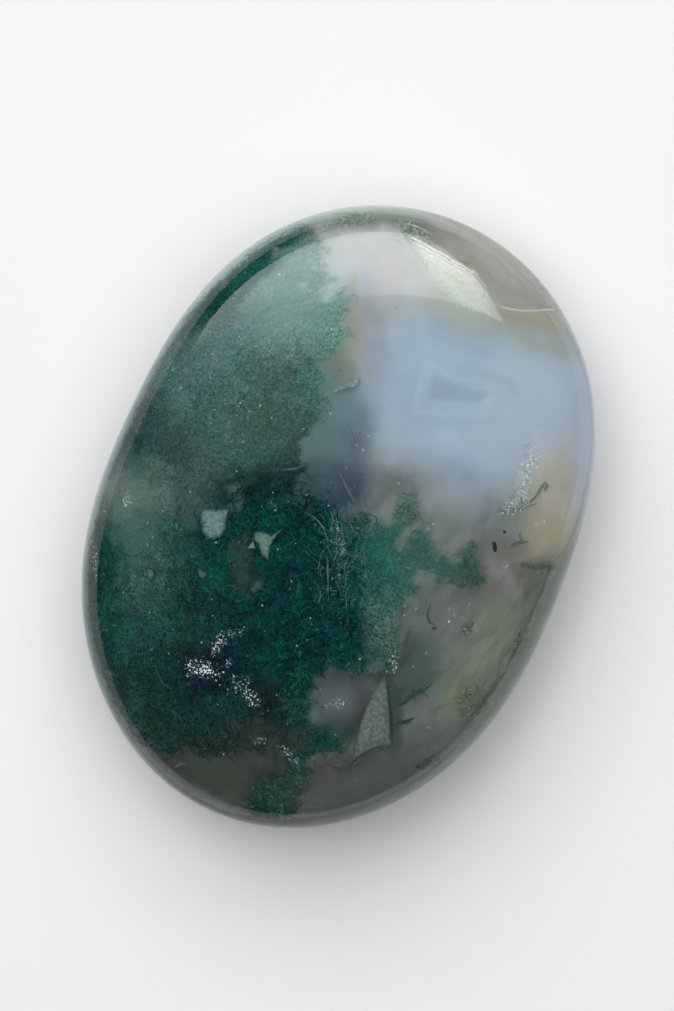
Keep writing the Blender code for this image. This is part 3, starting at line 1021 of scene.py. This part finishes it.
def set_veil(data, points):
    """The distances and shares that the veil is drawn from."""
    px, py = photo_pixel(points)
    top = points[:, 2] > 0
    across_top = edge_distance(px, py, VEIL_UPPER + [(504, 400), (390, 400)])
    set_values(data, "veil_edge", np.where(top, across_top, FAR))
    across_foot = edge_distance(px, py, VEIL_LOWER + [(396, 150), (640, 150), (640, 330)])
    set_values(data, "veil_foot", np.where(top, -across_foot, -FAR))
    start = 0.4 + 0.6 * ease(px, *VEIL_START)
    set_values(data, "veil", 0.95 * start * ease(px, *VEIL_END) * top)
    turn_x, turn_y = THREAD_TURN
    bow = np.where(px < turn_x, *THREAD_BOWS) * (px - turn_x) ** 2
    start, end = THREAD_ENDS
    along = ease(px, start - 4, start + 8) * ease(px, end + 6, end - 6)
    set_values(data, "thread_distance", py - turn_y + bow)
    set_values(data, "thread", along * top)


def add_skin():
    colour, haze = paint_haze_and_reflection(skin)
    set_colours(skin_data, "haze_colour", colour)
    set_values(skin_data, "haze", haze)
    set_values(skin_data, "specks", paint_specks_and_glints(skin))
    set_veil(skin_data, skin)
    piece = add_piece("agate_skin", skin_data, skin_material())
    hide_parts("agate_stone")


def body_depth(points):
    """How deep the body lies below the skin at these points of the skin."""
    px, py = photo_pixel(points)
    depth = np.full(px.shape, USUAL_DEPTH)
    for middle, size, tilt, deep in DEPTHS.values():
        here = soft_ellipse(px, py, middle, size, tilt, 0.3)
        depth += here * (deep - depth)
    below = ease(-points[..., 2], 0, 4 * MM)
    depth += below * (USUAL_DEPTH - depth)
    depth += ease(moss_field(points), -1.5, 0.5) * (MOSS_DEPTH - depth)
    relief = 0.3 * ease(depth, 0.3, 0.8) * ragged_noise(points, 1.8 * MM, 71)
    return np.maximum(0.2, depth * (1 + relief)) * MM


def add_body():
    """The milky and mossy body, a lump that follows the skin at a changing depth."""
    data, towards = ball_data("agate_body", BODY_CUTS)
    surface = on_stone(towards)
    depth = body_depth(surface)
    points = keep_depth(surface, depth, depth)
    place_points(data, points)
    set_colours(data, "body_colour", paint_body(surface))
    set_values(data, "moss", moss_cover(surface) * (1 - calm(surface)))
    px, py = photo_pixel(surface)
    top = surface[:, 2] > 0
    set_values(data, "cloud_frame", np.where(top, edge_distance(px, py, CLOUD_FRAME), FAR))
    set_values(data, "cloud_core", np.where(top, edge_distance(px, py, CLOUD_CORE), FAR))
    set_values(data, "cloud_arc", 0.8 * ease(edge_distance(px, py, CLOUD_ARC), 6, 0) * top)
    set_veil(data, surface)
    piece = add_piece("agate_body", data, body_material())
    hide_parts("agate_stone")


def tube_data(name, lines, radius, sides=3):
    """One mesh of thin tubes. lines is (how many, points each, 3) and radius one value for each tube."""
    count, steps, _ = lines.shape
    along = np.gradient(lines, axis=1)
    along /= np.linalg.norm(along, axis=2, keepdims=True) + 1e-12
    side = np.cross(along, (0.31, 0.17, 0.93))
    side /= np.linalg.norm(side, axis=2, keepdims=True) + 1e-12
    other = np.cross(along, side)
    turns = np.arange(sides) * 2 * math.pi / sides
    taper = np.sin(np.linspace(0.12, 0.93, steps) * math.pi) ** 0.5
    ring = np.cos(turns)[:, None] * side[:, :, None] + np.sin(turns)[:, None] * other[:, :, None]
    verts = lines[:, :, None] + ring * (radius[:, None] * taper)[:, :, None, None]
    tube, step, corner = np.meshgrid(np.arange(count), np.arange(steps - 1), np.arange(sides), indexing="ij")
    first = (tube * steps + step) * sides
    after = (corner + 1) % sides
    quads = np.stack([first + corner, first + after, first + sides + after, first + sides + corner], -1)
    ends = np.arange(count)[:, None] * steps * sides + np.arange(sides)
    caps = np.concatenate([ends[:, ::-1], ends + (steps - 1) * sides])
    data = bpy.data.meshes.new(name)
    data.from_pydata(np.zeros((count * steps * sides, 3)), [], quads.reshape(-1, 4).tolist() + caps.tolist())
    place_points(data, verts.reshape(-1, 3))
    return data


def wander(draws, start, steps, stride, curl, depths):
    """Curling lines from these points, which stay between two depths under the skin."""
    normal = depth_and_normal(start)[1]
    heading = draws.standard_normal(start.shape)
    heading -= 0.75 * normal * np.sum(heading * normal, 1, keepdims=True)
    heading /= np.linalg.norm(heading, axis=1, keepdims=True)
    spin = draws.standard_normal(start.shape) * curl
    point = keep_depth(start, *depths)
    path = [point]
    for _ in range(steps - 1):
        spin = 0.8 * spin + draws.standard_normal(spin.shape) * curl * 0.6
        heading = heading + np.cross(spin, heading)
        heading /= np.linalg.norm(heading, axis=1, keepdims=True)
        point = keep_depth(point + heading * stride[:, None], *depths)
        path.append(point)
    return np.stack(path, 1)


def grow_moss(name, seed, density, count, depths, length, radius, curl, steps, tone, material):
    """Moss fibres all round the stone, thickest where density is highest."""
    draws = np.random.default_rng(seed)
    depths = np.array(depths) * MM
    weight = np.clip(density(skin), 0, None)
    picks = draws.choice(len(skin), count, p=weight / weight.sum())
    start = skin[picks] + draws.standard_normal((count, 3)) * 0.2 * MM
    level = depths[0] + (depths[1] - depths[0]) * draws.random(count)
    start = keep_depth(start, level, level)
    stride = length * MM / steps * (0.6 + 0.8 * draws.random(count))
    lines = wander(draws, start, steps, stride, curl, depths)
    data = tube_data(name, lines, radius * MM * (0.7 + 0.6 * draws.random(count)))
    places = lines.reshape(-1, 3)
    dark, bright = moss_tones(places)
    share = (tone[0] + (tone[1] - tone[0]) * draws.random(count) ** 1.3).repeat(steps) * clumps(places)
    seen = seen_through_skin(dark + share[:, None] * (bright - dark), MOSS_GAIN)
    thick = (moss_share(places) * (1 - calm(places)))[:, None]
    set_colours(data, "own_colour", (seen * thick + paint_body(places) * (1 - thick)).repeat(3, axis=0))
    add_piece(name, data, material)


def add_tufts(name, seed, material):
    """Small tangles of moss on the stone's upper side."""
    steps, radius, curl = 8, 0.045 * MM, 0.6
    draws = np.random.default_rng(seed)
    lines, colours = [], []
    for middle, size, tilt, count, dark, bright, depths, length in TUFTS.values():
        reach = np.sqrt(draws.random(count))
        round_ = draws.random(count) * 2 * math.pi
        u, v = size[0] * reach * np.cos(round_), size[1] * reach * np.sin(round_)
        turn = math.radians(tilt)
        px = middle[0] + u * math.cos(turn) - v * math.sin(turn)
        py = middle[1] - u * math.sin(turn) - v * math.cos(turn)
        start = under_pixel(px, py, (depths[0] + (depths[1] - depths[0]) * draws.random(count)) * MM)
        stride = length * PIXEL / steps * (0.5 + draws.random(count))
        lines.append(wander(draws, start, steps, stride, curl, (depths[0] * MM, depths[1] * MM)))
        share = (draws.random(count) ** 1.5)[:, None]
        colours.append(srgb(*dark) + share * (srgb(*bright) - srgb(*dark)))
    lines, colours = np.concatenate(lines), np.concatenate(colours)
    data = tube_data(name, lines, radius * (0.7 + 0.6 * draws.random(len(lines))))
    set_colours(data, "own_colour", seen_through_skin(colours).repeat(steps * 3, axis=0))
    add_piece(name, data, material)


def even_line(corners, steps):
    """A line through these pixels with evenly spaced points and rounded corners."""
    corners = np.array(corners, float)
    stops = np.concatenate([[0], np.cumsum(np.hypot(*np.diff(corners, axis=0).T))])
    along = np.linspace(0, stops[-1], steps)
    line = np.stack([np.interp(along, stops, corners[:, axis]) for axis in (0, 1)], 1)
    for _ in range(2):
        line[1:-1] = (line[:-2] + 2 * line[1:-1] + line[2:]) / 4
    return line


def line_tubes(name, strokes, material, steps):
    """One mesh of tubes. A stroke is corners, depth in millimetres, width in pixels and colour."""
    sides = 4
    lines, widths, colours = [], [], []
    for corners, depth, width, rgb in strokes:
        line = even_line(corners, steps)
        lines.append(under_pixel(line[:, 0], line[:, 1], depth * MM))
        widths.append(width * PIXEL / 2)
        colours.append(srgb(*rgb))
    data = tube_data(name, np.stack(lines), np.array(widths), sides)
    seen = seen_through_skin(np.array(colours), STROKE_GAIN)
    set_colours(data, "own_colour", seen.repeat(steps * sides, axis=0))
    add_piece(name, data, material)


def add_filaments(name, seed, material):
    """Each filament is a bundle of thin strands that part and fray at its ends."""
    draws = np.random.default_rng(seed)
    strands = []
    for corners, depth, width, rgb in FILAMENTS.values():
        line = even_line(corners, 14)
        for _ in range(int(4 + 2.2 * width)):
            first, last = draws.integers(0, 4), draws.integers(11, 15)
            aside = draws.normal(0, 0.28 * width, 2) + np.cumsum(draws.normal(0, 0.16, (14, 2)), 0)
            tone = np.clip(np.array(rgb) * draws.uniform(0.72, 1.3), 0, 255)
            strand = (line + aside)[first:last].tolist()
            strands.append((strand, depth + draws.uniform(-0.04, 0.2), draws.uniform(0.7, 1.5), tuple(tone)))
    line_tubes(name, strands, material, steps=14)


def add_strokes(name, seed, material):
    """Fine light lines, some placed one by one and some scattered in patches."""
    draws = np.random.default_rng(seed)
    strokes = []
    for corners, depth, width, rgb in FINE_LINES.values():
        line = even_line(corners, 14)
        for _ in range(4):
            first, last = draws.integers(0, 6), draws.integers(9, 15)
            aside = draws.normal(0, 0.35 * width, 2) + np.cumsum(draws.normal(0, 0.08, (14, 2)), 0)
            tone = tuple(np.clip(np.array(rgb) * draws.uniform(0.75, 1.08), 0, 255))
            stroke = (line + aside)[first:last].tolist()
            strokes.append((stroke, depth, draws.uniform(0.35, 0.6) * width, tone))
    for middle, size, count, lean, spread, lengths, rgb in SCRATCHES.values():
        for _ in range(count):
            x = middle[0] + 0.55 * size[0] * draws.standard_normal()
            y = middle[1] + 0.55 * size[1] * draws.standard_normal()
            turn = math.radians(lean + spread * draws.standard_normal())
            reach = draws.uniform(*lengths) / 2
            aside = (reach * math.cos(turn), -reach * math.sin(turn))
            bow = draws.uniform(-0.15, 0.15) * reach
            corners = [(x - aside[0], y - aside[1]), (x + bow, y + bow), (x + aside[0], y + aside[1])]
            tone = tuple(draws.uniform(0.62, 1.05) * channel for channel in rgb)
            strokes.append((corners, draws.uniform(0.04, 0.12), draws.uniform(0.25, 0.55), tone))
    line_tubes(name, strokes, material, steps=8)


PLATE_RINGS = [0.35, 0.6, 0.78, 0.9, 1.0, 1.12]
GRAIN_RINGS = [0.6, 1.0]


def lens(corners, depth, thickness, ragged, shares):
    """Points and faces of a thin lens inside the stone that is seen with this outline."""
    around = np.array(corners + corners[:1], float)
    stops = np.concatenate([[0], np.cumsum(np.hypot(*np.diff(around, axis=0).T))])
    count = max(8, int(stops[-1] / 1.3))
    along = np.arange(count) * stops[-1] / count
    rim = np.stack([np.interp(along, stops, around[:, axis]) for axis in (0, 1)], 1)
    centre = rim.mean(0)
    outward = (rim - centre) / np.hypot(*(rim - centre).T)[:, None]
    bites = ragged_noise(np.concatenate([rim, np.full((count, 1), depth)], 1), 5.0, 61)
    rim = rim + outward * (ragged * bites)[:, None]

    layers = [(0.0, 0.0)] + [(share, share**4 / 3.2) for share in shares]
    layers += [(share, 1 - share**4 / 3.2) for share in reversed(shares[:-1])] + [(0.0, 1.0)]
    points = []
    for share, sunk in layers:
        ring = centre + (rim - centre) * share if share else centre[None]
        points.append(under_pixel(ring[:, 0], ring[:, 1], (depth + thickness * sunk) * MM))
    after = np.roll(np.arange(count), -1)
    faces = [(0, 1 + i, 1 + after[i]) for i in range(count)]
    rings = len(layers) - 2
    for ring in range(rings - 1):
        first, second = 1 + ring * count, 1 + (ring + 1) * count
        faces += [(first + i, second + i, second + after[i], first + after[i]) for i in range(count)]
    last = 1 + (rings - 1) * count
    faces += [(last + i, last + count, last + after[i]) for i in range(count)]
    outness = [np.full(len(ring), min(1, share**5)) for ring, (share, _) in zip(points, layers)]
    return np.concatenate(points), faces, np.concatenate(outness)[:, None]


def add_lenses(name, lenses, material, shares=PLATE_RINGS):
    points, faces, colours = [], [], []
    count = 0
    for corners, depth, thickness, ragged, rgb, rim_rgb in lenses.values():
        lens_points, lens_faces, towards_rim = lens(corners, depth, thickness, ragged, shares)
        points.append(lens_points)
        faces += [tuple(int(corner) + count for corner in face) for face in lens_faces]
        seen = srgb(*rgb) + towards_rim * (srgb(*rim_rgb) - srgb(*rgb))
        colours.append(seen_through_skin(seen, QUARTZ_GAIN))
        count += len(lens_points)
    data = bpy.data.meshes.new(name)
    data.from_pydata(np.zeros((count, 3)), [], faces)
    place_points(data, np.concatenate(points))
    set_colours(data, "own_colour", np.concatenate(colours))
    add_piece(name, data, material)


def fleck(draws, x, y, reach):
    """A tiny flat splinter at this pixel."""
    lean = draws.uniform(0, math.pi)
    u, v = reach * math.cos(lean), reach * math.sin(lean)
    slim = draws.uniform(0.3, 0.8)
    corners = [(x - u, y - v), (x - slim * v, y + slim * u), (x + u, y + v), (x + slim * v, y - slim * u)]
    tone = draws.uniform(0.8, 1.0)
    bright = tuple(tone * channel for channel in (206, 238, 240))
    return corners, draws.uniform(0.02, 0.05), 0.04, 0.3, bright, tuple(0.92 * channel for channel in bright)


def white_grains():
    """Single bright grains, each a few splinters, and the flecks of the beige patch."""
    draws = np.random.default_rng(11)
    grains = {}
    for number, (x, y, radius) in enumerate(GRAINS):
        for part in range(int(1 + 2.4 * radius)):
            across, down = draws.normal(0, 0.55 * radius, 2)
            grains[number, part] = fleck(draws, x + across, y + down, draws.uniform(0.3, 0.7) * radius)
    top, foot, spread, count = FLECKS
    for number in range(count):
        along = draws.random()
        x = top[0] + (foot[0] - top[0]) * along + draws.normal(0, spread)
        y = top[1] + (foot[1] - top[1]) * along
        grains["fleck", number] = fleck(draws, x, y, draws.uniform(0.6, 1.8))
    return grains


def patch_density(*patches, base):
    """A density that is base in all the moss and higher in these patches."""

    def density(points):
        field = moss_field(points)
        total = highest(*photo_pixel(points), patches, 0.35, base * (field > -0.6))
        return total * ease(field, -0.2, 0.5) * (1 - 1.25 * calm(points)) * (1 - rim_share(points))

    return density


add_skin()
add_body()
moss = grown_material("chlorite_moss", 3400.0, 0.5, 1.4)
quartz = grown_material("milky_quartz", 3000.0, 0.55, 1.35)
hair = grown_material("light_hairs", 1500.0, 0.85, 1.1)

# Where the curls and the felt grow: middle, half sizes, tilt, how thickly
curls = patch_density(((280, 590), (108, 112), 70, 1.0), ((215, 700), (90, 60), 140, 0.7), base=0.15)
felt = patch_density(((250, 385), (95, 112), 30, 1.0), ((140, 540), (60, 110), 70, 0.7),
                     ((420, 545), (46, 40), 0, 0.8), base=0.2)

# Fibres: seed, where they grow, how many, depths, length and radius in millimetres, curl, points along each,
# range of their tones from dark to bright
FIBRES = {
    "moss_curls": (5, curls, 3400, (0.10, 0.75), 2.0, 0.045, 0.42, 10, (0.0, 1.25)),
    "moss_curls_deep": (6, curls, 2300, (0.4, 0.9), 2.4, 0.06, 0.30, 10, (0.0, 0.6)),
    "moss_felt": (7, felt, 8400, (0.08, 0.7), 0.5, 0.042, 0.9, 4, (0.0, 1.25)),
}
for fibres, settings in FIBRES.items():
    grow_moss(fibres, *settings, moss)
add_tufts("moss_tufts", 8, moss)
add_filaments("moss_filaments", 10, hair)
add_strokes("hair_cracks", 9, hair)
add_lenses("quartz_spots", QUARTZ, quartz)
add_lenses("black_specks", BLACK_SPECKS, hair)
add_lenses("white_grains", white_grains(), hair, GRAIN_RINGS)


# Floor, lights and camera
FLOOR_HALF = 0.9
SOFTBOX_HEIGHT = 0.6


def add_floor():
    corners = [(x * FLOOR_HALF, y * FLOOR_HALF, 0) for x, y in ((-1, -1), (1, -1), (1, 1), (-1, 1))]
    data = bpy.data.meshes.new("floor")
    data.from_pydata(corners, [], [(0, 1, 2, 3)])
    floor = bpy.data.objects.new("floor", data)
    SCENE.collection.objects.link(floor)
    material, tree, shader = new_material("pale_floor")
    shader.inputs["Base Color"].default_value = (0.86, 0.86, 0.87, 1)
    set_matte(shader, 0.8, 0.2)
    data.materials.append(material)


def add_light(name, middle, width, height, radiance, turn=0.0, aim=None, mirrored=True):
    light = bpy.data.lights.new(name, "AREA")
    light.shape = "RECTANGLE"
    light.size, light.size_y = width, height
    light.energy = radiance * math.pi * width * height
    holder = bpy.data.objects.new(name, light)
    SCENE.collection.objects.link(holder)
    if aim is None:
        rotation = Matrix.Rotation(turn, 4, "Z")
    else:
        rotation = (aim - middle).to_track_quat("-Z", "Y").to_matrix().to_4x4()
    holder.matrix_world = Matrix.Translation(middle) @ rotation
    holder.visible_glossy = mirrored
    return light


def add_lights():
    """A large level softbox beyond the stone's far end with one feathered corner, and two plain fills."""
    height = SOFTBOX_HEIGHT
    turn = math.radians(4)
    near_right = (0.80, 0.72)
    width, depth = 3.3, 1.8
    across = Vector((math.cos(turn), math.sin(turn)))
    away = Vector((-math.sin(turn), math.cos(turn)))
    middle = Vector(near_right) - across * width / 2 + away * depth / 2
    place = (PHOTO_RIGHT * middle.x + PHOTO_UP * middle.y + Vector((0, 0, 1))) * height
    place.z += LEVEL
    softbox = add_light("softbox", place, width * height, depth * height, 2.8, turn=LEAN + turn)
    softbox.use_nodes = True
    tree = softbox.node_tree
    where = add_node(tree, "ShaderNodeNewGeometry").outputs["Parametric"]
    parts = add_node(tree, "ShaderNodeSeparateXYZ", None, [(0, where)])
    corner = maths(tree, "ADD", parts.outputs[0], parts.outputs[1])
    strength = mapped(tree, corner, 0.55, 1.0, 0.0, 1.0, "SMOOTHSTEP")
    tree.links.new(strength, tree.nodes["Emission"].inputs["Strength"])
    fill = PHOTO_RIGHT * -0.75 + PHOTO_UP * 0.55 + Vector((0, 0, 1.3))
    add_light("fill", fill, 1.2, 1.2, 2.1, aim=Vector((0, 0, 0)), mirrored=False)
    add_light("overhead", PHOTO_RIGHT * 0.3 + Vector((0, 0, 1.6)), 2.0, 2.0, 1.5, mirrored=False)


def add_world():
    """Dim for the light it gives, and pale where the camera sees it, as the background of low views."""
    world = bpy.data.worlds.new("studio")
    SCENE.world = world
    world.use_nodes = True
    tree = world.node_tree
    seen = tree.nodes.new("ShaderNodeLightPath").outputs["Is Camera Ray"]
    background = tree.nodes["Background"]
    dim, pale = (0.5, 0.52, 0.55, 1), (0.86, 0.87, 0.88, 1)
    tree.links.new(mixed(tree, seen, dim, pale), background.inputs["Color"])
    tree.links.new(mapped(tree, seen, 0.0, 1.0, 0.05, 1.0), background.inputs["Strength"])


def add_camera():
    data = bpy.data.cameras.new("camera")
    data.lens = 150
    data.sensor_width = 36
    data.clip_start = 0.01
    data.clip_end = 20
    camera = bpy.data.objects.new("camera", data)
    SCENE.collection.objects.link(camera)
    distance = PHOTO_HEIGHT * PIXEL * data.lens / data.sensor_width
    aside = (PHOTO_WIDTH / 2 - PHOTO_MIDDLE[0]) * PIXEL
    upward = (PHOTO_MIDDLE[1] - PHOTO_HEIGHT / 2) * PIXEL
    place = PHOTO_RIGHT * aside + PHOTO_UP * upward + Vector((0, 0, LEVEL + distance))
    turned = Matrix((PHOTO_RIGHT, PHOTO_UP, Vector((0, 0, 1)))).transposed().to_4x4()
    turned.translation = place
    camera.matrix_world = turned
    SCENE.camera = camera


add_floor()
add_lights()
add_world()
add_camera()
SCENE.view_settings.view_transform = "Standard"
